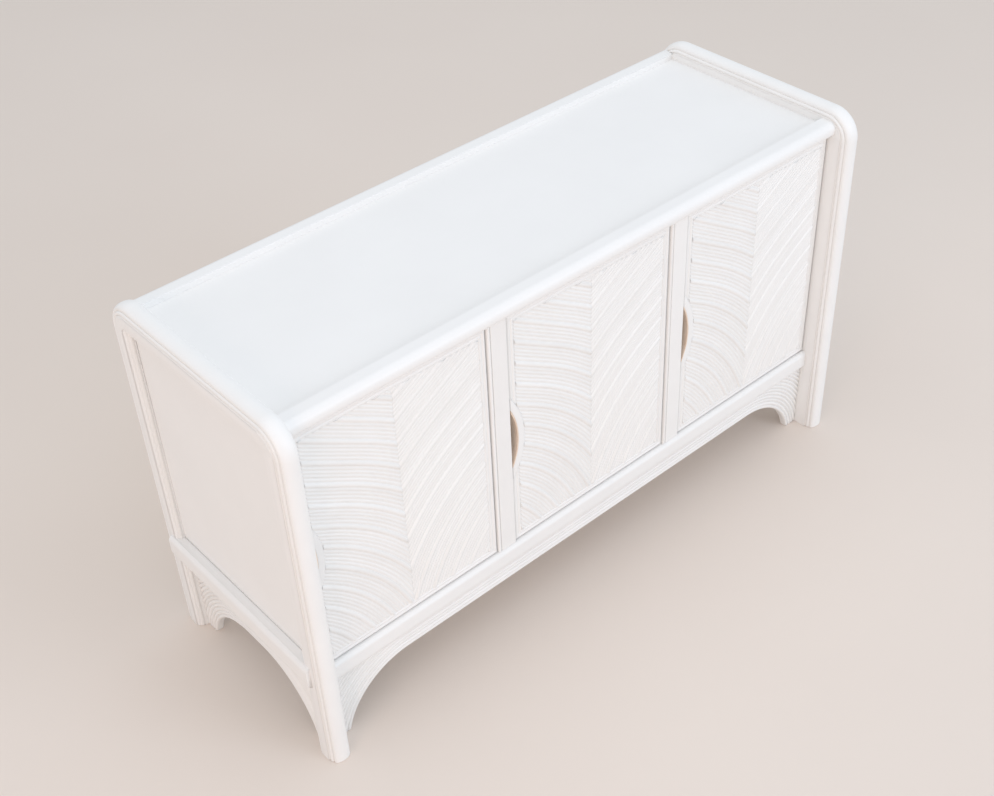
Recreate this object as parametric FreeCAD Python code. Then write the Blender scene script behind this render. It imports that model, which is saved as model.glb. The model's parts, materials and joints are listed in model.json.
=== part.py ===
import FreeCAD, Part
import math
import os

# White-painted reed sideboard with three inset doors, in millimetres.
# +X runs along the width, the doors face -Y, +Z is up.
# The origin is the middle of the footprint, on the floor.

V = FreeCAD.Vector

# End hoops: inverted U frames that make the legs and the rounded ends of the top
hoop_span = 1374.0
depth = 508.0
height = 784.0
post_width = 42.0
post_depth = 55.0
hoop_inner_corner = 4.0
rim_reeds = 7
opening_reeds = 2
opening_round = 13.0

# Rails between the hoops, coped over the hoops' rounded edges
cope_reach = 12.0
cope_gap = 0.1
top_rail_drop = 22.0
top_rail_height = 32.0
top_rail_depth = 34.0
top_rail_setback = 33.5
rear_top_rail_setback = 9.5
top_rail_nose = 15.0
bottom_rail_top = 201.0
bottom_rail_height = 46.0
bottom_rail_depth = 40.0
bottom_rail_setback = 38.5
bottom_rail_upper_round = 9.0
bottom_rail_lower_round = 15.0
side_rail_top = 245.0
side_rail_height = 52.0
side_rail_depth = 44.0
side_rail_proud = 8.0
side_rail_reach = 12.0
side_rail_upper_round = 11.0
side_rail_lower_round = 15.0
dowel_diameter = 8.0
dowel_length = 40.0
dowel_spacing = 16.0
dowel_from_back = 7.5
top_dowel_rise = 18.0

# Arched aprons below the rails
front_apron_setback = 47.5
side_apron_setback = 19.0
apron_thickness = 13.0
arch_radius = 150.0
arch_rise = 115.0
arch_toe = 30.0
apron_reed_lift = 2.0

# Boards
top_panel_recess = 12.0
tongue_reach = 6.0
tongue_thickness = 7.0
side_panel_inset = 16.0
side_panel_thickness = 12.0
groove_depth = 6.0
back_panel_inset = 30.0
back_panel_thickness = 6.0
bottom_panel_thickness = 18.0
divider_thickness = 18.0
shelf_thickness = 16.0
shelf_level = 463.0
shelf_front_gap = 30.0
shelf_back_gap = 8.0
shelf_side_gap = 1.0
shelf_pin_diameter = 5.0
shelf_pin_hold = 8.0
shelf_pin_reach = 9.0
shelf_pin_spacing = 260.0

# Split reeds
reed_pitch = 8.0
reed_gap = 0.4
reed_height = 3.2
reed_flats = 6
least_reed_volume = 40.0

# Stiles between the doors
stile_width = 42.0
stile_depth = 32.0
stile_proud = 3.0

# Doors
door_setback = 47.5
door_thickness = 18.0
door_gap = 2.5
door_end_gap = 2.5
border_reeds = 2
frond_fall = 31.5
frond_turn = 42.0
frond_centre_out = 213.5
frond_centre_down = 136.5
frond_first_rib = 270.5
rib_pitch = 11.6
rib_height = 4.6
fine_pitch = 6.95
fine_height = 2.8
fine_reeds = 4

# Crescent finger pull in each door's left edge
pull_length = 124.0
pull_depth = 14.0
pull_drop = 272.0
pull_liner = 2.4
pull_rim = 15.0
pull_rim_height = 4.0
pull_rim_ease = 1.4

# Pivot hinges at the right end of each door's top and bottom edge
pivot_from_edge = 20.0
pivot_from_face = 7.5
pivot_pin_diameter = 5.0
pivot_pin_reach = 9.0
pivot_clearance = 0.3
pivot_seat_gap = 0.3
pivot_boss_diameter = 9.0
pivot_plate_length = 44.0
pivot_plate_width = 10.0
pivot_plate_thickness = 2.0
pivot_plate_end = 10.0
screw_diameter = 3.0
screw_head_diameter = 5.6
screw_head_height = 1.6
screw_length = 14.0
screw_spacing = 14.0
screw_from_pivot = 14.0

# Magnetic catches at each door's free corner
catch_length = 46.0
catch_height = 14.0
catch_depth = 15.0
catch_from_edge = 40.0
catch_gap = 0.3
strike_length = 40.0
strike_height = 11.0
strike_thickness = 1.2

# Places worked out from the sizes above
hoop_outer = hoop_span / 2
hoop_inner = hoop_outer - post_width
hoop_centre = hoop_outer - post_width / 2
hoop_corner = post_depth + hoop_inner_corner
front = -depth / 2
post_back = front + post_depth
top_rail_top = height - top_rail_drop
top_rail_bottom = top_rail_top - top_rail_height
top_rail_front = front + top_rail_setback
top_rail_back = top_rail_front + top_rail_depth
rear_rail_shift = top_rail_setback - rear_top_rail_setback
rear_top_rail_inner = rear_rail_shift - top_rail_back
bottom_rail_bottom = bottom_rail_top - bottom_rail_height
bottom_rail_front = front + bottom_rail_setback
bottom_rail_back = bottom_rail_front + bottom_rail_depth
rear_bottom_rail_front = front + post_width / 2
side_rail_outer = hoop_outer + side_rail_proud
side_rail_inner = side_rail_outer - side_rail_depth
side_rail_bottom = side_rail_top - side_rail_height
side_dowel_level = (side_rail_bottom + side_rail_top - groove_depth) / 2
panel_outer = hoop_outer - side_panel_inset
panel_inner = panel_outer - side_panel_thickness
side_dowel_x = (panel_outer + panel_inner) / 2
back_panel_back = -front - back_panel_inset
back_panel_front = back_panel_back - back_panel_thickness
arch_level = arch_rise - arch_radius
arch_half_width = math.sqrt(arch_radius ** 2 - arch_level ** 2)
door_face = front + door_setback
door_core_front = door_face + reed_height
door_core_back = door_core_front + door_thickness
door_width = (2 * hoop_inner - 2 * stile_width - 2 * door_end_gap - 4 * door_gap) / 3
door_bottom = bottom_rail_top + door_gap
door_top = top_rail_bottom - door_gap
stile_front = door_face - stile_proud
stile_back = stile_front + stile_depth
stile_centre = door_width / 2 + door_gap + stile_width / 2
common_reed = (reed_pitch, reed_height)
frond_bundle = [(rib_pitch, rib_height)] + [(fine_pitch, fine_height)] * fine_reeds
door_step = door_width + 2 * door_gap + stile_width
door_lefts = [-hoop_inner + door_end_gap + i * door_step for i in range(3)]
pivot_y = door_core_front + pivot_from_face
pivot_offset = door_width - pivot_from_edge
pull_radius = (pull_length ** 2 / 4 + pull_depth ** 2) / (2 * pull_depth)
pull_centre_x = pull_depth - pull_radius
pull_centre_z = door_top - pull_drop


def box(x0, x1, y0, y1, z0, z1):
    """Block between two corners."""
    return Part.makeBox(x1 - x0, y1 - y0, z1 - z0, V(x0, y0, z0))


def rod(centre, direction, diameter, length):
    """Round bar that starts at a point."""
    return Part.makeCylinder(diameter / 2, length, centre, direction)


def outline(corners, place):
    """Closed wire through (a, b, radius) corners, each rounded by its radius, put in space by place(a, b)."""
    spans = []
    for i, (a, b, radius) in enumerate(corners):
        corner = V(a, b, 0)
        before = V(*corners[i - 1][:2], 0) - corner
        after = V(*corners[(i + 1) % len(corners)][:2], 0) - corner
        before.normalize()
        after.normalize()
        half = before.getAngle(after) / 2
        reach = radius / math.tan(half)
        inward = before + after
        inward.normalize()
        middle = corner + inward * (radius / math.sin(half) - radius)
        spans.append((corner + before * reach, middle, corner + after * reach))
    edges = []
    for i, (start, middle, end) in enumerate(spans):
        following = spans[(i + 1) % len(spans)][0]
        if corners[i][2] > 0:
            arc = Part.Arc(place(start.x, start.y), place(middle.x, middle.y), place(end.x, end.y))
            edges.append(arc.toShape())
        if (following - end).Length > 1e-6:
            line = Part.LineSegment(place(end.x, end.y), place(following.x, following.y))
            edges.append(line.toShape())
    return Part.Wire(edges)


def prism(wire, along):
    """Solid made by moving a closed flat wire along a vector."""
    return Part.Face(wire).extrude(along)


def group(solids):
    """Separate solids that make one node."""
    return Part.makeCompound(solids)


def mirrored(shape):
    """The same shape on the other side of the middle plane."""
    return shape.mirror(V(0, 0, 0), V(1, 0, 0))


def reed_section(base, across, out, size=common_reed):
    """Half-round reed section of a (pitch, height), in narrow flats, about a point of the face it lies on."""
    half_width = (size[0] - reed_gap) / 2
    rise = size[1]
    radius = (half_width ** 2 + rise ** 2) / (2 * rise)
    half_turn = math.asin(half_width / radius)
    centre = base + out * (rise - radius)
    points = []
    for i in range(reed_flats + 1):
        turn = half_turn * (1 - 2 * i / reed_flats)
        points.append(centre + across * (radius * math.sin(turn)) + out * (radius * math.cos(turn)))
    return Part.makePolygon(points + points[:1])


def straight_reed(start, along, across, out, size=common_reed):
    """Half-round reed laid straight on a flat face."""
    return prism(reed_section(start, across, out, size), along)


def bent_reed(start, centre, axis, turn, out, size=common_reed):
    """Half-round reed bent on a flat face, about a centre and by a turn in degrees."""
    across = start - centre
    across.normalize()
    return Part.Face(reed_section(start, across, out, size)).revolve(centre, axis, turn)


def trimmed_reed(lengths, field):
    """Lengths of one reed, trimmed to a field and joined end to end. Slivers are left out."""
    kept = []
    for length in lengths:
        kept += [solid for solid in length.common(field).Solids if solid.Volume > least_reed_volume]
    if len(kept) < 2:
        return kept
    return kept[0].fuse(kept[1:]).Solids


# End hoops, drawn as a section at the front foot and carried round

rim_centre = V(hoop_centre, front + post_width / 2, 0)
opening_centre = V(hoop_outer - opening_round, post_back - opening_round, 0)


def seat_corners(centre, radius, count, first, last):
    """Corners of the facets that carry the reeds of a rounded edge, between two bearings in degrees."""
    step = math.radians(last - first) / count
    reach = (radius - reed_height) / math.cos(step / 2)
    corners = []
    for i in range(count + 1):
        bearing = math.radians(first) + i * step
        corners.append(centre + V(math.cos(bearing), math.sin(bearing), 0) * reach)
    return corners


def seat_reeds(centre, radius, count, first, last):
    """Reed sections on the facets of a rounded edge."""
    step = math.radians(last - first) / count
    sections = []
    for i in range(count):
        bearing = math.radians(first) + (i + 0.5) * step
        out = V(math.cos(bearing), math.sin(bearing), 0)
        across = V(-out.y, out.x, 0)
        sections.append(Part.Face(reed_section(centre + out * (radius - reed_height), across, out)))
    return sections


def hoop_sweep(section):
    """Solid that carries a section from the front foot up the leg, over the top and down the rear leg."""
    rise = V(0, 0, height - hoop_corner)
    axis = V(0, front + hoop_corner, height - hoop_corner)
    leg = section.extrude(rise)
    bend = section.translated(rise).revolve(axis, V(-1, 0, 0), 90)
    start = section.translated(rise)
    start.rotate(axis, V(-1, 0, 0), 90)
    over = start.extrude(V(0, -2 * axis.y, 0))
    rear = [shape.mirror(V(0, 0, 0), V(0, 1, 0)) for shape in (leg, bend)]
    return over.fuse([leg, bend] + rear).removeSplitter()


def right_hoop_reeds():
    """Reeds round the rim of the right hoop and round the outer edge of its side opening."""
    sections = seat_reeds(rim_centre, post_width / 2, rim_reeds, -180, 0)
    sections += seat_reeds(opening_centre, opening_round, opening_reeds, 0, 90)
    return group([hoop_sweep(section) for section in sections])


def right_hoop(cuts):
    """Right end hoop with facets for its reeds, cut for what is let into it."""
    points = [V(hoop_inner, rim_centre.y, 0)]
    points += seat_corners(rim_centre, post_width / 2, rim_reeds, -180, 0)
    points += [V(hoop_outer, rim_centre.y, 0), V(hoop_outer, opening_centre.y, 0)]
    points += seat_corners(opening_centre, opening_round, opening_reeds, 0, 90)
    points += [V(opening_centre.x, post_back, 0), V(hoop_inner, post_back, 0)]
    section = Part.Face(Part.makePolygon(points + points[:1]))
    return hoop_sweep(section).cut(cuts)


def right_cope():
    """Smooth body just round the right hoop and its reeds, that rail ends are cut to."""
    corners = [
        (hoop_inner, front - cope_gap, post_width / 2),
        (hoop_outer, front - cope_gap, post_width / 2),
        (hoop_outer, post_back, opening_round),
        (hoop_inner, post_back, 0),
    ]
    return hoop_sweep(Part.Face(outline(corners, lambda x, y: V(x, y, 0))))


# Rails


def rail_length(corners, reach):
    """Length of rail to both sides of the middle, with ends that run on to be coped."""
    section = outline(corners, lambda y, z: V(-reach, y, z))
    return prism(section, V(2 * reach, 0, 0))


def top_rail():
    """Front top rail with a bullnose front edge."""
    corners = [
        (top_rail_front, top_rail_bottom, top_rail_nose),
        (top_rail_front, top_rail_top, top_rail_nose),
        (top_rail_back, top_rail_top, 0),
        (top_rail_back, top_rail_bottom, 0),
    ]
    return rail_length(corners, hoop_inner + cope_reach)


def bottom_rail(rail_front, rail_back, lower_round):
    """Bottom rail drawn at the front, whose ends reach behind the posts to the side rails."""
    corners = [
        (rail_front, bottom_rail_bottom, lower_round),
        (rail_front, bottom_rail_top, bottom_rail_upper_round),
        (rail_back, bottom_rail_top, 0),
        (rail_back, bottom_rail_bottom, 0),
    ]
    return rail_length(corners, side_rail_inner)


def right_side_rail():
    """Right side rail between the posts, a little proud of them."""
    corners = [
        (side_rail_outer, side_rail_bottom, side_rail_lower_round),
        (side_rail_outer, side_rail_top, side_rail_upper_round),
        (side_rail_inner, side_rail_top, 0),
        (side_rail_inner, side_rail_bottom, 0),
    ]
    end = post_back - side_rail_reach
    section = outline(corners, lambda x, z: V(x, end, z))
    return prism(section, V(0, -2 * end, 0))


def rail_dowels():
    """Wooden dowels in the rail ends: one in each end of a top rail, two in each end of the others."""
    top_ys = {-1: top_rail_back - dowel_from_back, 1: rear_top_rail_inner + dowel_from_back}
    bottom_y = post_back - dowel_from_back
    bottom_z = (bottom_rail_top + bottom_rail_bottom) / 2
    solids = []
    for side in (-1, 1):
        start_x = side * hoop_inner - dowel_length / 2
        for facing in (-1, 1):
            places = [V(start_x, top_ys[facing], top_rail_bottom + top_dowel_rise)]
            for shift in (-dowel_spacing / 2, dowel_spacing / 2):
                places.append(V(start_x, -facing * bottom_y, bottom_z + shift))
                start = V(side * side_dowel_x, -facing * post_back - dowel_length / 2, side_dowel_level + shift)
                solids.append(rod(start, V(0, 1, 0), dowel_diameter, dowel_length))
            solids += [rod(place, V(1, 0, 0), dowel_diameter, dowel_length) for place in places]
    return group(solids)


# Aprons


def apron(half_span, top, place, through):
    """Board with a quarter-round arch at each end, drawn in its own flat (a, b) and put in space by place."""
    toe = half_span - arch_toe
    centre = toe - arch_half_width
    slant = arch_half_width / 2
    crown = arch_level + math.sqrt(arch_radius ** 2 - slant ** 2)
    points = [(-toe, 0), (-half_span, 0), (-half_span, top), (half_span, top), (half_span, 0), (toe, 0)]
    edges = []
    for start, end in zip(points, points[1:]):
        edges.append(Part.LineSegment(place(*start), place(*end)).toShape())
    right = Part.Arc(place(toe, 0), place(centre + slant, crown), place(centre, arch_rise))
    left = Part.Arc(place(-centre, arch_rise), place(-centre - slant, crown), place(-toe, 0))
    edges.append(right.toShape())
    edges.append(Part.LineSegment(place(centre, arch_rise), place(-centre, arch_rise)).toShape())
    edges.append(left.toShape())
    return prism(Part.Wire(edges), through)


def apron_reeds(half_span, top, place, out):
    """Reeds that follow the apron's lower edge, from the arch up to the rail and the posts."""
    centre = half_span - arch_toe - arch_half_width
    field = apron(half_span, top, place, out * (2 * reed_height))
    field = field.common(box(-hoop_span, hoop_span, -depth, depth, apron_reed_lift, top))
    across = place(1, 0) - place(0, 0)
    up = V(0, 0, 1)
    axis = across.cross(up)
    reach = math.hypot(half_span - centre, top - arch_level)
    solids = []
    for i in range(int((reach - arch_radius) / reed_pitch)):
        radius = arch_radius + (i + 0.5) * reed_pitch
        lengths = [
            bent_reed(place(centre + radius, arch_level), place(centre, arch_level), axis, 90, out),
            straight_reed(place(centre, arch_level + radius), across * (-2 * centre), up, out),
            bent_reed(place(-centre, arch_level + radius), place(-centre, arch_level), axis, 90, out),
        ]
        solids += trimmed_reed(lengths, field)
    return group(solids)


def front_place(a, b):
    """Point of the front apron's face."""
    return V(a, front + front_apron_setback + reed_height, b)


def side_place(a, b):
    """Point of the right apron's face."""
    return V(hoop_outer - side_apron_setback - reed_height, a, b)


# Boards


def top_panel():
    """Top board, tongued on all four edges into the hoops and rails."""
    top = top_rail_top - top_panel_recess
    board = box(-hoop_inner, hoop_inner, top_rail_back, rear_top_rail_inner, top_rail_bottom, top)
    middle = (top + top_rail_bottom) / 2
    x = hoop_inner + tongue_reach
    y0 = top_rail_back - tongue_reach
    y1 = rear_top_rail_inner + tongue_reach
    tongue = box(-x, x, y0, y1, middle - tongue_thickness / 2, middle + tongue_thickness / 2)
    return board.fuse(tongue).removeSplitter()


def right_side_panel():
    """Right side board, let into grooves in the hoop and the side rail."""
    y = post_back - groove_depth
    top = height - post_depth + groove_depth
    return box(panel_inner, panel_outer, y, -y, side_rail_top - groove_depth, top)


def back_panel():
    """Thin back, let into grooves in the rear posts and rails."""
    x = hoop_inner + groove_depth
    low = bottom_rail_top - groove_depth
    return box(-x, x, back_panel_front, back_panel_back, low, top_rail_bottom + groove_depth)


def bottom_panel():
    """Cabinet floor between the bottom rails and the side rails."""
    low = bottom_rail_top - bottom_panel_thickness
    return box(-side_rail_inner, side_rail_inner, bottom_rail_back, -post_back, low, bottom_rail_top)


def right_divider():
    """Upright board behind the right stile."""
    x0 = stile_centre - divider_thickness / 2
    return box(x0, x0 + divider_thickness, stile_back, back_panel_front, bottom_rail_top, top_rail_bottom)


def compartments():
    """Left and right limits of the three spaces behind the doors."""
    walls = stile_centre - divider_thickness / 2
    far_walls = stile_centre + divider_thickness / 2
    return [(-panel_inner, -far_walls), (-walls, walls), (far_walls, panel_inner)]


def shelf(limits):
    """Loose shelf in one compartment, short enough to lie between the front and rear posts."""
    left, right = limits
    y0 = post_back + shelf_front_gap
    y1 = -post_back - shelf_back_gap
    low = shelf_level - shelf_thickness
    return box(left + shelf_side_gap, right - shelf_side_gap, y0, y1, low, shelf_level)


def shelf_pins():
    """Four pins under each shelf, half in the board beside it."""
    solids = []
    level = shelf_level - shelf_thickness - shelf_pin_diameter / 2
    length = shelf_pin_hold + shelf_pin_reach
    for left, right in compartments():
        for y in (-shelf_pin_spacing / 2, shelf_pin_spacing / 2):
            solids.append(rod(V(left - shelf_pin_hold, y, level), V(1, 0, 0), shelf_pin_diameter, length))
            solids.append(rod(V(right - shelf_pin_reach, y, level), V(1, 0, 0), shelf_pin_diameter, length))
    return group(solids)


# Stiles


def right_stile():
    """Upright between the second and third doors, without its reeds."""
    half = stile_width / 2
    x0 = stile_centre - half
    return box(x0, x0 + stile_width, stile_front + reed_height, stile_back, bottom_rail_top, top_rail_bottom)


def right_stile_reeds():
    """Upright reeds over the stile's front."""
    count = int(stile_width / reed_pitch)
    first = stile_centre - (count - 1) * reed_pitch / 2
    rise = V(0, 0, top_rail_bottom - bottom_rail_top)
    solids = []
    for i in range(count):
        start = V(first + i * reed_pitch, stile_front + reed_height, bottom_rail_top)
        solids.append(straight_reed(start, rise, V(1, 0, 0), V(0, -1, 0)))
    return solids


# Doors, each drawn with its left edge at x = 0


def pull_disc(extra, y0, y1):
    """Round body that cuts the finger pull's crescent, widened by an extra amount."""
    centre = V(pull_centre_x, y0, pull_centre_z)
    return Part.makeCylinder(pull_radius + extra, y1 - y0, centre, V(0, 1, 0))


def door_pull_liner():
    """Bare bent-wood strip that lines the finger pull."""
    face = door_core_front - pull_rim_height
    strip = pull_disc(pull_liner, face, door_core_back).cut(pull_disc(0, face, door_core_back))
    return strip.common(box(0, door_width, face, door_core_back, door_bottom, door_top))


def door_pull_rim():
    """Smooth crescent around the finger pull, on the door's face, with eased edges."""
    back = door_core_front
    face = back - pull_rim_height
    eased = face + pull_rim_ease
    inner = pull_radius + pull_liner
    outer = inner + pull_rim
    corners = [
        (inner, back),
        (outer, back),
        (outer, eased),
        (outer - pull_rim_ease, face),
        (inner + pull_rim_ease, face),
        (inner, eased),
    ]
    points = [V(pull_centre_x + radius, y, pull_centre_z) for radius, y in corners]
    section = Part.Face(Part.makePolygon(points + points[:1]))
    ring = section.revolve(V(pull_centre_x, 0, pull_centre_z), V(0, 1, 0), 360)
    return ring.common(box(0, door_width, face, back, door_bottom, door_top))


def frond_layout(farthest):
    """Distance from the frond's turning centre and size of each reed, in bundles of a rib and fine reeds."""
    layout = []
    edge = frond_first_rib
    while edge < farthest:
        for size in frond_bundle:
            layout.append((edge + size[0] / 2, size))
            edge += size[0]
    return layout


def frond_side(left, right):
    """Reeds of the frond's left half: they fall straight towards the middle, then turn down about a centre."""
    low = door_bottom + border_reeds * reed_pitch
    high = door_top - border_reeds * reed_pitch
    centre = V(-frond_centre_out, door_core_front, door_bottom - frond_centre_down)
    field = box(left, right, door_core_front - 2 * reed_height, door_core_front, low, high)
    fall = math.radians(frond_fall)
    along = V(math.cos(fall), 0, -math.sin(fall))
    outward = V(math.sin(fall), 0, math.cos(fall))
    farthest = (V(right, door_core_front, high) - centre).dot(outward)
    solids = []
    for radius, size in frond_layout(farthest):
        bend = centre + outward * radius
        lengths = [
            straight_reed(bend - along * door_width, along * door_width, outward, V(0, -1, 0), size),
            bent_reed(bend, centre, V(0, 1, 0), frond_turn, V(0, -1, 0), size),
        ]
        solids += trimmed_reed(lengths, field)
    return solids


def door_frond_reeds():
    """Frond on both sides of the door's middle line, cut round the finger pull."""
    edge = border_reeds * reed_pitch
    middle = door_width / 2
    half = frond_side(edge, middle - reed_gap / 2)
    rim = pull_disc(pull_liner + pull_rim + reed_gap, door_core_front - 2 * reed_height, door_core_front)
    solids = []
    for reed in half:
        solids.extend(reed.cut(rim).Solids)
        solids.append(reed.mirror(V(middle, 0, 0), V(1, 0, 0)))
    return solids


def border_side(corners, start, along, across):
    """Straight reeds along one edge of the door, mitred by the outline of that edge's strip."""
    wire = outline(corners, lambda x, z: V(x, door_core_front, z))
    strip = prism(wire, V(0, -2 * reed_height, 0))
    solids = []
    for i in range(border_reeds):
        reed = straight_reed(start + across * ((i + 0.5) * reed_pitch), along, across, V(0, -1, 0))
        solids.extend(reed.common(strip).Solids)
    return solids


def door_border_reeds():
    """Straight reeds along the four edges of the door, cut round the finger pull."""
    inset = border_reeds * reed_pitch
    right = door_width
    low = door_bottom
    high = door_top
    outer = [(0, low, 0), (right, low, 0), (right, high, 0), (0, high, 0)]
    inner = [
        (inset, low + inset, 0),
        (right - inset, low + inset, 0),
        (right - inset, high - inset, 0),
        (inset, high - inset, 0),
    ]
    ways = [V(1, 0, 0), V(0, 0, 1), V(-1, 0, 0), V(0, 0, -1)]
    solids = []
    for i in range(4):
        j = (i + 1) % 4
        corners = [outer[i], outer[j], inner[j], inner[i]]
        start = V(outer[i][0], door_core_front, outer[i][1])
        end = V(outer[j][0], door_core_front, outer[j][1])
        solids += border_side(corners, start, end - start, ways[j])
    rim = pull_disc(pull_liner + pull_rim + reed_gap, door_core_front - 2 * reed_height, door_core_front)
    return [piece for reed in solids for piece in reed.cut(rim).Solids]


def pivot_plate(level, up):
    """Hinge plate whose outer face is at a level, with its pivot at the door's right end."""
    x1 = pivot_offset + pivot_plate_end
    x0 = x1 - pivot_plate_length
    y0 = pivot_y - pivot_plate_width / 2
    low = min(level, level - up * pivot_plate_thickness)
    return box(x0, x1, y0, y0 + pivot_plate_width, low, low + pivot_plate_thickness)


def screws(level, up):
    """Two countersunk screws that go into the wood from a plate's outer face."""
    solids = []
    for i in range(2):
        x = pivot_offset - screw_from_pivot - i * screw_spacing
        start = V(x, pivot_y, level)
        into = V(0, 0, -up)
        head = Part.makeCone(screw_head_diameter / 2, screw_diameter / 2, screw_head_height, start, into)
        shank_start = start + into * screw_head_height
        shank = rod(shank_start, into, screw_diameter, screw_length - screw_head_height)
        solids.append(head.fuse(shank).removeSplitter())
    return solids


def frame_pivot(level, up):
    """Carcass side of a hinge: plate, washer boss and pin, facing a door edge at the given side."""
    plate = pivot_plate(level, up)
    centre = V(pivot_offset, pivot_y, level)
    facing = V(0, 0, up)
    boss = rod(centre, facing, pivot_boss_diameter, door_gap - pivot_seat_gap)
    pin = rod(centre, facing, pivot_pin_diameter, door_gap + pivot_pin_reach)
    whole = plate.fuse([boss, pin]).removeSplitter()
    return whole.cut(group(screws(level, up)))


def frame_pivots():
    """Bottom and top carcass hinge plates of one door."""
    return [frame_pivot(bottom_rail_top, 1), frame_pivot(top_rail_bottom, -1)]


def frame_screws():
    """Screws of the carcass hinge plates of one door."""
    return screws(bottom_rail_top, 1) + screws(top_rail_bottom, -1)


def door_screws():
    """Screws of the door's own hinge plates."""
    return screws(door_bottom, -1) + screws(door_top, 1)


def pivot_bore(level, up):
    """Room for the pin in a door edge."""
    diameter = pivot_pin_diameter + 2 * pivot_clearance
    return rod(V(pivot_offset, pivot_y, level), V(0, 0, up), diameter, pivot_pin_reach + pivot_seat_gap)


def door_pivots():
    """Bottom and top hinge plates let into the door's edges."""
    bottom = pivot_plate(door_bottom, -1).cut(pivot_bore(door_bottom, 1))
    top = pivot_plate(door_top, 1).cut(pivot_bore(door_top, -1))
    cut = group(door_screws())
    return [bottom.cut(cut), top.cut(cut)]


def door_strike():
    """Steel strike plate on the door's back, facing the magnetic catch."""
    x0 = catch_from_edge + (catch_length - strike_length) / 2
    middle = top_rail_bottom - catch_height / 2
    z0 = min(middle - strike_height / 2, door_top - strike_height)
    y0 = door_core_back
    return box(x0, x0 + strike_length, y0, y0 + strike_thickness, z0, z0 + strike_height)


def door_catch():
    """Magnetic catch under the top rail and panel."""
    y0 = door_core_back + strike_thickness + catch_gap
    z0 = top_rail_bottom - catch_height
    return box(catch_from_edge, catch_from_edge + catch_length, y0, y0 + catch_depth, z0, top_rail_bottom)


def door_panel():
    """Door board with its finger pull and hinge recesses."""
    board = box(0, door_width, door_core_front, door_core_back, door_bottom, door_top)
    board = board.cut(pull_disc(pull_liner, door_core_front, door_core_back))
    recesses = [pivot_plate(door_bottom, -1), pivot_plate(door_top, 1)]
    bores = [pivot_bore(door_bottom, 1), pivot_bore(door_top, -1)]
    return board.cut(group(recesses + bores + door_screws()))


def placed(solids, left):
    """Copies of door pieces with the door's left edge at a place."""
    return [solid.translated(V(left, 0, 0)) for solid in solids]


# Pieces that repeat on both sides or on all three doors

plates = []
plate_screws = []
catches = []
for left in door_lefts:
    plates += placed(frame_pivots(), left)
    plate_screws += placed(frame_screws(), left)
    catches += placed([door_catch()], left)
hinge_cuts = group(plates + plate_screws)
dowels = rail_dowels()
pins = shelf_pins()
panel = top_panel()
back = back_panel()
side = right_side_panel()
hoop = right_hoop(group([side, back, panel] + dowels.Solids))
rim = right_hoop_reeds()
cope = right_cope()
copes = [cope, mirrored(cope)]
side_rail = right_side_rail().cut(group([cope])).cut(group([side] + dowels.Solids))
front_top = top_rail().cut(copes)
rear_top = top_rail().mirror(V(0, 0, 0), V(0, 1, 0)).translated(V(0, rear_rail_shift, 0)).cut(copes)
front_bottom = bottom_rail(bottom_rail_front, bottom_rail_back, bottom_rail_lower_round).cut(copes)
rear_bottom = bottom_rail(rear_bottom_rail_front, post_back, bottom_rail_upper_round).cut(copes)
rear_bottom = rear_bottom.mirror(V(0, 0, 0), V(0, 1, 0))
front_apron = apron(hoop_inner, bottom_rail_bottom, front_place, V(0, apron_thickness, 0))
front_reeds = apron_reeds(hoop_inner, bottom_rail_bottom, front_place, V(0, -1, 0))
side_apron = apron(-post_back, side_rail_bottom, side_place, V(-apron_thickness, 0, 0))
side_reeds = apron_reeds(-post_back, side_rail_bottom, side_place, V(1, 0, 0))
stile = right_stile()
stile_reeds = right_stile_reeds()
divider = right_divider().cut(pins)
panel_cut = side.cut(pins)
spaces = compartments()

nodes = {
    "left_hoop": mirrored(hoop),
    "right_hoop": hoop,
    "left_hoop_reeds": mirrored(rim),
    "right_hoop_reeds": rim,
    "front_top_rail": front_top.cut(group([panel, dowels, hinge_cuts])),
    "rear_top_rail": rear_top.cut(group([panel, back, dowels])),
    "front_bottom_rail": front_bottom.cut(group([dowels, hinge_cuts])),
    "rear_bottom_rail": rear_bottom.cut(group([back, dowels])),
    "left_side_rail": mirrored(side_rail),
    "right_side_rail": side_rail,
    "front_apron": front_apron,
    "front_apron_reeds": front_reeds,
    "left_apron": mirrored(side_apron),
    "right_apron": side_apron,
    "side_apron_reeds": group(side_reeds.Solids + mirrored(side_reeds).Solids),
    "top_panel": panel,
    "left_side_panel": mirrored(panel_cut),
    "right_side_panel": panel_cut,
    "back_panel": back,
    "bottom_panel": bottom_panel(),
    "left_stile": mirrored(stile),
    "right_stile": stile,
    "stile_reeds": group(stile_reeds + [mirrored(reed) for reed in stile_reeds]),
    "left_divider": mirrored(divider),
    "right_divider": divider,
    "left_shelf": shelf(spaces[0]),
    "centre_shelf": shelf(spaces[1]),
    "right_shelf": shelf(spaces[2]),
    "shelf_pins": pins,
    "rail_dowels": dowels,
    "frame_pivots": group(plates),
    "frame_pivot_screws": group(plate_screws),
    "door_catches": group(catches),
}

door_pieces = {
    "panel": [door_panel()],
    "frond_reeds": door_frond_reeds(),
    "border_reeds": door_border_reeds(),
    "pull_rim": [door_pull_rim()],
    "pull_liner": [door_pull_liner()],
    "pivot_plates": door_pivots(),
    "pivot_screws": door_screws(),
    "strike_plate": [door_strike()],
}
for side_name, left in zip(("left", "centre", "right"), door_lefts):
    for name, solids in door_pieces.items():
        nodes[f"{side_name}_door_{name}"] = group(placed(solids, left))

os.makedirs("parts", exist_ok=True)
for name, shape in nodes.items():
    shape.exportStep(f"parts/{name}.step")
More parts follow.
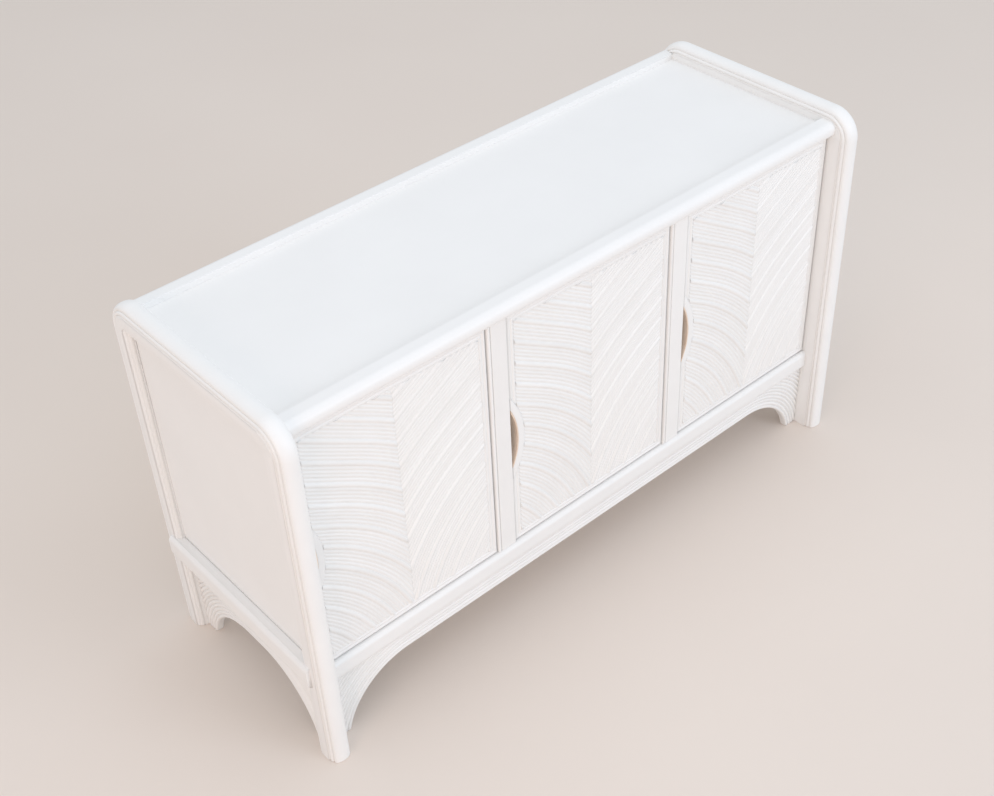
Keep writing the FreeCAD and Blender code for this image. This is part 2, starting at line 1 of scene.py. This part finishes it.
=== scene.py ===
import json
import math
import bpy
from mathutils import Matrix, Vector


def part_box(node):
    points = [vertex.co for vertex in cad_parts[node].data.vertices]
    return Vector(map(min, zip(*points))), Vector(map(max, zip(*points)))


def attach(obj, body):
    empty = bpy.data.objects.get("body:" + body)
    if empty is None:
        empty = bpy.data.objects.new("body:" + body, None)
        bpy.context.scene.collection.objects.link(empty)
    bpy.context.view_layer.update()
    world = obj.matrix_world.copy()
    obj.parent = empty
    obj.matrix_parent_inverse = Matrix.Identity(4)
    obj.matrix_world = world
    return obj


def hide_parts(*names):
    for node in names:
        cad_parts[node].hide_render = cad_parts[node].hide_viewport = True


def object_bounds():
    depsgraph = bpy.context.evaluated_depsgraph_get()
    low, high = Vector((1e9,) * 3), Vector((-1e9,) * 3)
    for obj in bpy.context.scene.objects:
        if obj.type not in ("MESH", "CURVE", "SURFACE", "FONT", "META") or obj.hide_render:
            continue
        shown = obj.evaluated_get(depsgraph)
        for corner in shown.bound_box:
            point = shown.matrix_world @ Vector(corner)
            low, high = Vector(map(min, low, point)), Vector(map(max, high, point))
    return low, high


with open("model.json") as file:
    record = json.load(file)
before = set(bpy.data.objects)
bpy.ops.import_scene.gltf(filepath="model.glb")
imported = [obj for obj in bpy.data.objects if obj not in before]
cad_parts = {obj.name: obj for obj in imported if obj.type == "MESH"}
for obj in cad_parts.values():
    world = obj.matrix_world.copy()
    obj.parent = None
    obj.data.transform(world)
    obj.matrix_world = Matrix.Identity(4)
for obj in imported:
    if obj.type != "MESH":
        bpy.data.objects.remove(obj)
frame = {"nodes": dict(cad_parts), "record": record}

# White-lacquered reed sideboard with three inset doors, in metres.
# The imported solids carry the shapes. Here rounded pieces are shaded smooth, sawn boards get eased edges, the
# side rails lap over the posts, and every piece gets its finish. The mouldings of the hoops, the faces of the
# stiles and the lacquer between the doors' reeds are modelled here. Floor, light and camera come last.

mm = 0.001
cad_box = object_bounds()
nodes = frame["nodes"]
body_of_node = {}
for body, members in frame["record"]["behaviour"]["bodies"].items():
    for member in members:
        body_of_node[member] = body

# Joining, shading and edges of the dressed copies, with angles in degrees
weld = 0.01 * mm
flat_angle = 1.0
smooth_angle = 40.0
board_ease = 0.8 * mm
board_ease_steps = 2
ease_angle = 60.0
ease_steps = 3
rail_lap = 12 * mm
rounded_pieces = ("hoop", "rail", "apron_reeds", "border_reeds", "pull_rim", "pull_liner")
eased_boards = ("apron", "shelf", "stile")

# Moulding round each hoop: a smooth flattish nose with two beads at either edge, and two beads in the side
# opening. Bearings are in degrees round the section's edge.
hoop_corner = 59 * mm
post_depth = 55 * mm
nose_half_width = 16.5 * mm
nose_half_depth = 8 * mm
nose_setback = 0.2 * mm
edge_bead = 3.6 * mm
edge_bearings = (94, 70)
opening_round = 13 * mm
opening_bead = 3.9 * mm
opening_bearings = (22.5, 67.5)
bend_steps = 12
bar_sides = 32
foot_ease = 2.5 * mm

# Face of each stile: one upright bead and a smooth eased board beside it
stile_bead = 3.4 * mm
stile_gap = 0.6 * mm
stile_setback = 0.5 * mm
stile_ease = 1.2 * mm

# Lacquer that has pooled between a door's reeds
film_height = 1.8 * mm
film_margin = 0.5 * mm
film_tuck = 6 * mm
film_cut_depth = 18 * mm
pull_sides = 160

# Patterns of the finishes, in millimetres. Grain and pores are coarser than real ones, so that they show.
cloud_mm = 140
grain_mm = 3
peel_mm = 4
reed_patch_mm = 60
reed_skin_mm = 5
pore_mm = 1.2
bloom_mm = 4
plastic_grain_mm = 0.8
floor_cloud_mm = 700

# Share to which grain is squeezed along its way, which draws it out twenty times, and the lacquer's IOR
grain_squeeze = 0.05
lacquer_ior = 1.47

# Camera of the photograph, fitted to the corners that show, with turns in degrees and lens in millimetres
camera_place = (-1.4438, -1.6849, 2.1459)
camera_turn = (50.4859, 2.3489, -41.3909)
camera_lens = 52.05
camera_sensor = 36.0

# Stage: floor, sky and three soft lamps
floor_size = 14.0
sky_colour = "#F1F5FA"
sky_strength = 0.76
window_colour = "#E2EEFF"
window_place = (2.6, -6.6, 2.9)
window_size = 3.2
window_watts = 128.0
ceiling_colour = "#F4F8FF"
ceiling_place = (0.0, -0.4, 4.6)
ceiling_size = 5.0
ceiling_watts = 50.0
side_colour = "#FFDCC8"
side_place = (-4.4, -2.2, 1.7)
side_size = 2.0
side_watts = 40.0
light_aim = (0.0, 0.0, 0.45)


# Small helpers for materials


def linear(colour):
    """Linear RGBA of an sRGB hex colour."""
    parts = [int(colour[i:i + 2], 16) / 255 for i in (1, 3, 5)]
    return [c / 12.92 if c <= 0.04045 else ((c + 0.055) / 1.055) ** 2.4 for c in parts] + [1.0]


def add(tree, kind, inputs, **settings):
    """Adds a node with its settings. Each input is a value or the socket that feeds it."""
    node = tree.nodes.new(kind)
    for name, value in settings.items():
        setattr(node, name, value)
    for name, value in inputs.items():
        if isinstance(value, bpy.types.NodeSocket):
            tree.links.new(value, node.inputs[name])
        else:
            node.inputs[name].default_value = value
    return node


def blank_material(name):
    """New node material with only its output. Returns the material, its tree and the output node."""
    material = bpy.data.materials.new(name)
    material.use_nodes = True
    tree = material.node_tree
    tree.nodes.clear()
    return material, tree, tree.nodes.new("ShaderNodeOutputMaterial")


def per_metre(size_mm):
    """Noise scale whose blotches are about this many millimetres across."""
    return 1 / (size_mm * mm)


def stretched_along(way):
    """Mapping scale that draws a noise out along one way, as grain runs along a board."""
    return [grain_squeeze if axis == way else 1.0 for axis in "xyz"]


# Materials


def lacquered_board(way):
    """Satin white lacquer sprayed on planed wood: nearly white with faint clouds from uneven coats, a soft
    wide sheen, and closed grain that just shows as shallow lines along the board."""
    material, tree, output = blank_material(f"satin_white_lacquer_on_planed_wood_{way}")
    place = add(tree, "ShaderNodeTexCoord", {}).outputs["Object"]
    cloud = add(tree, "ShaderNodeTexNoise", {"Vector": place, "Scale": per_metre(cloud_mm), "Detail": 3.0})
    tone = add(tree, "ShaderNodeMix", {
        "Factor": cloud.outputs["Fac"],
        "A": linear("#F7F6F4"),
        "B": linear("#F1F0EE"),
    }, data_type="RGBA")
    along = add(tree, "ShaderNodeMapping", {"Vector": place, "Scale": stretched_along(way)})
    grain = add(tree, "ShaderNodeTexNoise", {
        "Vector": along.outputs["Vector"],
        "Scale": per_metre(grain_mm),
        "Detail": 4.0,
    })
    peel = add(tree, "ShaderNodeTexNoise", {"Vector": place, "Scale": per_metre(peel_mm), "Detail": 2.0})
    relief = add(tree, "ShaderNodeMath", {0: grain.outputs["Fac"], 1: peel.outputs["Fac"]}, operation="ADD")
    bump = add(tree, "ShaderNodeBump", {
        "Height": relief.outputs[0],
        "Strength": 0.5,
        "Distance": 0.08 * mm,
    })
    shine = add(tree, "ShaderNodeMapRange", {"Value": cloud.outputs["Fac"], "To Min": 0.36, "To Max": 0.46})
    surface = add(tree, "ShaderNodeBsdfPrincipled", {
        "Base Color": tone.outputs["Result"],
        "Roughness": shine.outputs["Result"],
        "Normal": bump.outputs["Normal"],
        "IOR": lacquer_ior,
    })
    tree.links.new(surface.outputs["BSDF"], output.inputs["Surface"])
    return material


def lacquered_reed():
    """Satin white lacquer brushed over split reed: each reed takes the coats a little differently, so tone
    and sheen change from reed to reed, over a slightly uneven skin."""
    material, tree, output = blank_material("satin_white_lacquer_on_split_reed")
    place = add(tree, "ShaderNodeTexCoord", {}).outputs["Object"]
    each = add(tree, "ShaderNodeNewGeometry", {}).outputs["Random Per Island"]
    patch = add(tree, "ShaderNodeTexNoise", {
        "Vector": place,
        "Scale": per_metre(reed_patch_mm),
        "Detail": 3.0,
    })
    mixed = add(tree, "ShaderNodeMath", {0: each, 1: patch.outputs["Fac"]}, operation="ADD")
    share = add(tree, "ShaderNodeMapRange", {"Value": mixed.outputs[0], "From Min": 0.3, "From Max": 1.7})
    tone = add(tree, "ShaderNodeMix", {
        "Factor": share.outputs["Result"],
        "A": linear("#F8F7F5"),
        "B": linear("#F1EFEC"),
    }, data_type="RGBA")
    skin = add(tree, "ShaderNodeTexNoise", {"Vector": place, "Scale": per_metre(reed_skin_mm), "Detail": 3.0})
    bump = add(tree, "ShaderNodeBump", {
        "Height": skin.outputs["Fac"],
        "Strength": 0.6,
        "Distance": 0.15 * mm,
    })
    shine = add(tree, "ShaderNodeMapRange", {"Value": share.outputs["Result"], "To Min": 0.4, "To Max": 0.54})
    surface = add(tree, "ShaderNodeBsdfPrincipled", {
        "Base Color": tone.outputs["Result"],
        "Roughness": shine.outputs["Result"],
        "Normal": bump.outputs["Normal"],
        "IOR": lacquer_ior,
    })
    tree.links.new(surface.outputs["BSDF"], output.inputs["Surface"])
    return material


def raw_wood(name, pale, dark, ring_mm, roughness):
    """Sanded raw wood with upright grain: soft bands of early and late wood, fine darker pores along them,
    and a dull surface."""
    material, tree, output = blank_material(name)
    place = add(tree, "ShaderNodeTexCoord", {}).outputs["Object"]
    along = add(tree, "ShaderNodeMapping", {"Vector": place, "Scale": stretched_along("z")})
    bands = add(tree, "ShaderNodeTexNoise", {
        "Vector": along.outputs["Vector"],
        "Scale": per_metre(ring_mm),
        "Detail": 3.0,
        "Distortion": 0.4,
    })
    pores = add(tree, "ShaderNodeTexNoise", {
        "Vector": along.outputs["Vector"],
        "Scale": per_metre(pore_mm),
        "Detail": 2.0,
    })
    both = add(tree, "ShaderNodeMath", {0: bands.outputs["Fac"], 1: pores.outputs["Fac"]}, operation="ADD")
    share = add(tree, "ShaderNodeMapRange", {"Value": both.outputs[0], "From Min": 0.7, "From Max": 1.3})
    tone = add(tree, "ShaderNodeMix", {
        "Factor": share.outputs["Result"],
        "A": linear(pale),
        "B": linear(dark),
    }, data_type="RGBA")
    bump = add(tree, "ShaderNodeBump", {
        "Height": pores.outputs["Fac"],
        "Strength": 0.4,
        "Distance": 0.08 * mm,
    })
    surface = add(tree, "ShaderNodeBsdfPrincipled", {
        "Base Color": tone.outputs["Result"],
        "Roughness": roughness,
        "Normal": bump.outputs["Normal"],
        "IOR": 1.5,
    })
    tree.links.new(surface.outputs["BSDF"], output.inputs["Surface"])
    return material


def zinc_plate():
    """Rolled steel with bright zinc plating: grey metal with a faint cloudy bloom in its shine."""
    material, tree, output = blank_material("zinc_plated_rolled_steel")
    place = add(tree, "ShaderNodeTexCoord", {}).outputs["Object"]
    bloom = add(tree, "ShaderNodeTexNoise", {"Vector": place, "Scale": per_metre(bloom_mm), "Detail": 3.0})
    tone = add(tree, "ShaderNodeMix", {
        "Factor": bloom.outputs["Fac"],
        "A": linear("#CFD1D4"),
        "B": linear("#AEB1B6"),
    }, data_type="RGBA")
    shine = add(tree, "ShaderNodeMapRange", {"Value": bloom.outputs["Fac"], "To Min": 0.25, "To Max": 0.45})
    surface = add(tree, "ShaderNodeBsdfPrincipled", {
        "Base Color": tone.outputs["Result"],
        "Roughness": shine.outputs["Result"],
        "Metallic": 1.0,
    })
    tree.links.new(surface.outputs["BSDF"], output.inputs["Surface"])
    return material


def moulded_plastic():
    """White ABS moulding: even colour, fine spark-eroded grain that dulls the shine."""
    material, tree, output = blank_material("moulded_white_abs")
    place = add(tree, "ShaderNodeTexCoord", {}).outputs["Object"]
    grain = add(tree, "ShaderNodeTexNoise", {
        "Vector": place,
        "Scale": per_metre(plastic_grain_mm),
        "Detail": 2.0,
    })
    tone = add(tree, "ShaderNodeMix", {
        "Factor": grain.outputs["Fac"],
        "A": linear("#E9E8E4"),
        "B": linear("#E0DFDB"),
    }, data_type="RGBA")
    bump = add(tree, "ShaderNodeBump", {
        "Height": grain.outputs["Fac"],
        "Strength": 0.4,
        "Distance": 0.05 * mm,
    })
    surface = add(tree, "ShaderNodeBsdfPrincipled", {
        "Base Color": tone.outputs["Result"],
        "Roughness": 0.45,
        "Normal": bump.outputs["Normal"],
        "IOR": 1.53,
    })
    tree.links.new(surface.outputs["BSDF"], output.inputs["Surface"])
    return material


def matt_floor():
    """Matt pale floor with a barely uneven tone."""
    material, tree, output = blank_material("matt_pale_floor")
    place = add(tree, "ShaderNodeTexCoord", {}).outputs["Object"]
    cloud = add(tree, "ShaderNodeTexNoise", {
        "Vector": place,
        "Scale": per_metre(floor_cloud_mm),
        "Detail": 2.0,
    })
    tone = add(tree, "ShaderNodeMix", {
        "Factor": cloud.outputs["Fac"],
        "A": linear("#EADFD5"),
        "B": linear("#E6DAD0"),
    }, data_type="RGBA")
    surface = add(tree, "ShaderNodeBsdfPrincipled", {"Base Color": tone.outputs["Result"], "Roughness": 0.8})
    tree.links.new(surface.outputs["BSDF"], output.inputs["Surface"])
    return material


board_finishes = {way: lacquered_board(way) for way in "xyz"}
finishes = {
    "white_reed": lacquered_reed(),
    "bare_wood": raw_wood("sanded_bare_ash", "#F5E5D5", "#E6CDB6", ring_mm=6.0, roughness=0.6),
    "beech": raw_wood("turned_raw_beech", "#D9BC98", "#C49C74", ring_mm=4.0, roughness=0.6),
    "bare_plywood": raw_wood("sanded_birch_plywood", "#E6D5B8", "#D2BA94", ring_mm=14.0, roughness=0.65),
    "zinc_steel": zinc_plate(),
    "white_plastic": moulded_plastic(),
}


def longest_way(node):
    """Axis along which a node is longest, which is the way its grain runs."""
    low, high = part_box(node)
    spans = [b - a for a, b in zip(low, high)]
    return "xyz"[spans.index(max(spans))]


# Copies, and how a piece takes a node's place


def select_only(piece):
    """Makes a piece the active one and the only one selected."""
    bpy.ops.object.select_all(action="DESELECT")
    bpy.context.view_layer.objects.active = piece
    piece.select_set(True)


def own_copy(mesh, name):
    """Object with its own copy of a mesh, left selected."""
    piece = bpy.data.objects.new(name, mesh.copy())
    bpy.context.scene.collection.objects.link(piece)
    select_only(piece)
    return piece


def moved_copy(piece, shift):
    """Copy of a piece with its own mesh, moved sideways."""
    twin = own_copy(piece.data, piece.name)
    twin.location.x = shift
    bpy.ops.object.transform_apply(location=True, rotation=False, scale=False)
    return twin


def joined(pieces, name):
    """One object from several, left selected."""
    bpy.ops.object.select_all(action="DESELECT")
    for piece in pieces:
        piece.select_set(True)
    bpy.context.view_layer.objects.active = pieces[0]
    bpy.ops.object.join()
    pieces[0].name = name
    return pieces[0]


def take_place(piece, node):
    """Shades a piece, flats true and rounds smooth, and puts it in a node's place."""
    select_only(piece)
    bpy.ops.object.shade_smooth_by_angle(angle=math.radians(smooth_angle))
    weighted = piece.modifiers.new("flats", "WEIGHTED_NORMAL")
    weighted.keep_sharp = True
    bpy.ops.object.modifier_apply(modifier=weighted.name)
    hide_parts(node)
    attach(piece, body_of_node[node])


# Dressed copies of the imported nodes


def dressed_copy(node, ease):
    """Copy of a node with its triangles joined and, for a sawn board, its sharp edges eased."""
    piece = own_copy(nodes[node].data, f"{node}_dressed")
    bpy.ops.object.mode_set(mode="EDIT")
    bpy.ops.mesh.select_all(action="SELECT")
    bpy.ops.mesh.remove_doubles(threshold=weld)
    if ease:
        bpy.ops.mesh.dissolve_limited(angle_limit=math.radians(flat_angle))
    bpy.ops.object.mode_set(mode="OBJECT")
    if ease:
        bevel = piece.modifiers.new("ease", "BEVEL")
        bevel.width = ease
        bevel.segments = board_ease_steps
        bevel.limit_method = "ANGLE"
        bevel.angle_limit = math.radians(ease_angle)
        bpy.ops.object.modifier_apply(modifier=bevel.name)
    return piece


def lapped_rail(node):
    """Copy of a side rail, drawn out at both ends to lap over the rounded edges of the posts."""
    low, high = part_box(node)
    rail = dressed_copy(node, 0)
    rail.scale.y = 1 + 2 * rail_lap / (high[1] - low[1])
    bpy.ops.object.transform_apply(location=False, rotation=False, scale=True)
    return rail


# Bars and blocks that the mouldings are made of


def bar_section(x, y, z, half_width, half_depth):
    """Filled round or oval section at the foot of a bar, left in edit mode with all of it selected."""
    bpy.ops.object.select_all(action="DESELECT")
    bpy.ops.mesh.primitive_circle_add(
        vertices=bar_sides,
        radius=half_depth,
        fill_type="NGON",
        location=(x, y, z),
    )
    bpy.context.object.scale.x = half_width / half_depth
    bpy.ops.object.transform_apply(location=True, rotation=False, scale=True)
    bpy.ops.object.mode_set(mode="EDIT")
    bpy.ops.mesh.select_all(action="SELECT")


def draw_out(way):
    """Extrudes what is selected in edit mode this far along x, y and z."""
    bpy.ops.mesh.extrude_region_move(TRANSFORM_OT_translate={"value": way})


def finished_bar(ease):
    """Closes the bar that is being edited, turns its faces outwards and rounds its two ends."""
    bpy.ops.mesh.select_all(action="SELECT")
    bpy.ops.mesh.remove_doubles(threshold=weld)
    bpy.ops.mesh.normals_make_consistent(inside=False)
    bpy.ops.mesh.select_mode(type="FACE")
    bpy.ops.mesh.select_face_by_sides(number=bar_sides, type="EQUAL", extend=False)
    bpy.ops.mesh.bevel(offset=ease, segments=ease_steps)
    bpy.ops.object.mode_set(mode="OBJECT")
    return bpy.context.object


def hoop_bar(x, inset, half_width, half_depth):
    """Bar that runs up, over and down along a hoop, its middle this far inside the hoop's outline."""
    back = cad_box[1][1]
    rise = cad_box[1][2] - hoop_corner
    bend_y = back - hoop_corner
    quarter = math.pi / 2
    bar_section(x, inset - back, 0, half_width, half_depth)
    draw_out((0, 0, rise))
    bpy.ops.mesh.spin(steps=bend_steps, angle=quarter, center=(x, -bend_y, rise), axis=(1, 0, 0))
    draw_out((0, 2 * bend_y, 0))
    bpy.ops.mesh.spin(steps=bend_steps, angle=quarter, center=(x, bend_y, rise), axis=(1, 0, 0))
    # The far foot stops a hair above the floor, so that rounding in the turns can't push it below.
    draw_out((0, 0, weld - rise))
    return finished_bar(foot_ease)


def upright_bar(x, y, low_z, high_z, radius):
    """Round bead that stands upright."""
    bar_section(x, y, low_z, radius, radius)
    draw_out((0, 0, high_z - low_z))
    return finished_bar(board_ease)


def eased_block(low, high, ease):
    """Block between two corners with rounded edges."""
    bpy.ops.object.select_all(action="DESELECT")
    bpy.ops.mesh.primitive_cube_add(
        size=1,
        location=[(a + b) / 2 for a, b in zip(low, high)],
        scale=[b - a for a, b in zip(low, high)],
    )
    bpy.ops.object.transform_apply(location=True, rotation=False, scale=True)
    bpy.ops.object.mode_set(mode="EDIT")
    bpy.ops.mesh.select_all(action="SELECT")
    bpy.ops.mesh.bevel(offset=ease, segments=ease_steps)
    bpy.ops.object.mode_set(mode="OBJECT")
    return bpy.context.object


# Mouldings, faces and lacquer that are modelled here


def hoop_mouldings():
    """Noses and beads of both hoops, by the node they stand for. Each bar is modelled on the left hoop and
    copied to its other places."""
    low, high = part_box("left_hoop_reeds")
    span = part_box("right_hoop_reeds")[0][0] - low[0]
    middle = (low[0] + high[0]) / 2
    half_width = (high[0] - low[0]) / 2
    left_bars = [hoop_bar(middle, nose_setback + nose_half_depth, nose_half_width, nose_half_depth)]
    beads_and_shifts = []
    reach = half_width - edge_bead
    for bearing in edge_bearings:
        turn = math.radians(bearing)
        out = reach * math.sin(turn)
        inset = half_width - reach * math.cos(turn)
        bead = hoop_bar(middle - out, inset, edge_bead, edge_bead)
        left_bars.append(bead)
        beads_and_shifts.append((bead, 2 * out))
    for bead, shift in reversed(beads_and_shifts):
        left_bars.append(moved_copy(bead, shift))
    right_bars = [moved_copy(bar, span) for bar in left_bars]
    reach = opening_round - opening_bead
    for bearing in opening_bearings:
        turn = math.radians(bearing)
        out = half_width - opening_round + reach * math.cos(turn)
        inset = post_depth - opening_round + reach * math.sin(turn)
        bead = hoop_bar(middle - out, inset, opening_bead, opening_bead)
        left_bars.append(bead)
        right_bars.append(moved_copy(bead, span + 2 * out))
    return {
        "left_hoop_reeds": joined(left_bars, "left_hoop_reeds_moulding"),
        "right_hoop_reeds": joined(right_bars, "right_hoop_reeds_moulding"),
    }


def stile_faces():
    """Front faces of both stiles, modelled on the left one and copied to the right one."""
    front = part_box("stile_reeds")[0][1]
    low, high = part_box("left_stile")
    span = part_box("right_stile")[0][0] - low[0]
    bead = upright_bar(low[0] + stile_bead, front + stile_bead, low[2], high[2], stile_bead)
    board_left = low[0] + 2 * stile_bead + stile_gap
    board = eased_block(
        (board_left, front + stile_setback, low[2]),
        (high[0], low[1] + stile_ease, high[2]),
        stile_ease,
    )
    pieces = [bead, board, moved_copy(bead, span), moved_copy(board, span)]
    return joined(pieces, "stile_reeds_moulding")


def lacquer_film(door):
    """Thin sheet on a door's core that fills the grooves between its reeds, cut away at the finger pull."""
    low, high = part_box(f"{door}_panel")
    pull_low, pull_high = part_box(f"{door}_pull_liner")
    half_length = (pull_high[2] - pull_low[2]) / 2
    depth = pull_high[0] - pull_low[0]
    radius = (half_length ** 2 + depth ** 2) / (2 * depth)
    film = eased_block(
        (low[0] + film_margin, low[1] - film_height, low[2] + film_margin),
        (high[0] - film_margin, low[1] + film_margin, high[2] - film_margin),
        film_margin / 2,
    )
    bpy.ops.object.select_all(action="DESELECT")
    bpy.ops.mesh.primitive_cylinder_add(
        vertices=pull_sides,
        radius=radius + film_tuck,
        depth=film_cut_depth,
        location=(pull_high[0] - radius, low[1], (pull_low[2] + pull_high[2]) / 2),
        rotation=(math.pi / 2, 0, 0),
    )
    disc = bpy.context.object
    cut = film.modifiers.new("pull", "BOOLEAN")
    cut.operation = "DIFFERENCE"
    cut.object = disc
    bpy.context.view_layer.objects.active = film
    bpy.ops.object.modifier_apply(modifier=cut.name)
    bpy.data.objects.remove(disc)
    return film


def door_films():
    """Lacquer films of the three doors, modelled on the left one and copied to the others."""
    first = lacquer_film("left_door")
    first_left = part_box("left_door_panel")[0][0]
    films = {"left_door": first}
    for door in ("centre_door", "right_door"):
        films[door] = moved_copy(first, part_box(f"{door}_panel")[0][0] - first_left)
    return films


# Every node gets its finish, and so does the piece that takes its place, if it has one.
films = door_films()
modelled = hoop_mouldings()
modelled["stile_reeds"] = stile_faces()
for subpart in frame["record"]["subparts"]:
    node = subpart["node"]
    slot = subpart["material_slot"]
    painted = [nodes[node]]
    if node.endswith(eased_boards):
        painted.append(dressed_copy(node, board_ease))
    elif node.endswith("side_rail"):
        painted.append(lapped_rail(node))
    elif node.endswith(rounded_pieces):
        painted.append(dressed_copy(node, 0))
    elif node.endswith("frond_reeds"):
        reeds = dressed_copy(node, 0)
        painted.append(joined([reeds, films[body_of_node[node]]], reeds.name))
    elif node in modelled:
        painted.append(modelled[node])
    finish = board_finishes[longest_way(node)] if slot == "white_paint" else finishes[slot]
    for piece in painted:
        piece.data.materials.clear()
        piece.data.materials.append(finish)
    for piece in painted[1:]:
        take_place(piece, node)


# Stage, light and camera


def aim(lamp, place, target):
    """Puts a lamp at a place and turns it to face a point."""
    away = [a - b for a, b in zip(place, target)]
    flat = math.hypot(away[0], away[1])
    lamp.location = place
    lamp.rotation_euler = (math.atan2(flat, away[2]), 0, math.atan2(away[1], away[0]) + math.pi / 2)


def soft_lamp(name, colour, place, size, watts):
    """Large square soft light aimed at the cabinet."""
    lamp = bpy.data.lights.new(name, "AREA")
    lamp.color = linear(colour)[:3]
    lamp.size = size
    lamp.energy = watts
    holder = bpy.data.objects.new(name, lamp)
    bpy.context.scene.collection.objects.link(holder)
    aim(holder, place, light_aim)


bpy.ops.object.select_all(action="DESELECT")
bpy.ops.mesh.primitive_plane_add(size=floor_size)
floor = bpy.context.object
floor.name = "floor"
floor.data.materials.append(matt_floor())

world = bpy.data.worlds.new("studio")
bpy.context.scene.world = world
world.use_nodes = True
background = world.node_tree.nodes["Background"]
background.inputs["Color"].default_value = linear(sky_colour)
background.inputs["Strength"].default_value = sky_strength

soft_lamp("window", window_colour, window_place, window_size, window_watts)
soft_lamp("ceiling", ceiling_colour, ceiling_place, ceiling_size, ceiling_watts)
soft_lamp("warm_side", side_colour, side_place, side_size, side_watts)

camera = bpy.data.cameras.new("camera")
camera.lens = camera_lens
camera.sensor_width = camera_sensor
viewer = bpy.data.objects.new("camera", camera)
viewer.location = camera_place
viewer.rotation_euler = [math.radians(turn) for turn in camera_turn]
bpy.context.scene.collection.objects.link(viewer)
bpy.context.scene.camera = viewer
bpy.context.scene.view_settings.view_transform = "Standard"
